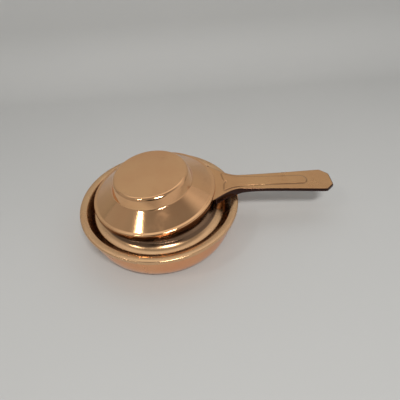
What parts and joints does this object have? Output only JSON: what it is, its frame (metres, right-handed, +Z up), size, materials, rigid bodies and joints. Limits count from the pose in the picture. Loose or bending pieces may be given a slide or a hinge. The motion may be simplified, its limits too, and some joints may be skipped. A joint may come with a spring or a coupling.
{
  "type": "spirit burner",
  "caption": "Copper spirit burner for a fondue or chafing dish: bulged bowl, lift-out burner pan with fuel cup and gauze, and a loose stepped snuffer cover with a flat pressed handle.",
  "frame": {"origin": "centre of the bowl's flat base, on the surface that it stands on", "axes": "+Z up along the bowl's axis, +X out along the snuffer's handle"},
  "size_m": [0.2114, 0.13, 0.056],
  "materials": {
    "bowl_copper": "polished copper, slightly pink",
    "pan_copper": "polished copper with a golden lacquer",
    "cover_copper": "polished copper",
    "handle_copper": "polished copper, dark underneath",
    "tinned_steel": "dull tinned sheet",
    "gauze_wire": "woven wire, heat stained",
    "ring_brass": "plain brass",
    "wadding": "white wadding"
  },
  "bodies": {
    "bowl": {"bowl": "bowl_copper"},
    "burner": {"burner_pan": "pan_copper", "fuel_cup": "tinned_steel", "wadding": "wadding", "gauze": "gauze_wire", "gauze_ring": "ring_brass"},
    "snuffer": {"snuffer_cover": "cover_copper", "handle": "handle_copper"}
  },
  "joints": [
    {"name": "burner_lift", "type": "slide", "parent": "bowl", "child": "burner", "axis": [0, 0, 1], "range_m": [0, 0.06]},
    {"name": "snuffer_lift", "type": "slide", "parent": "burner", "child": "snuffer", "axis": [0, 0, 1], "range_m": [0, 0.07]}
  ]
}
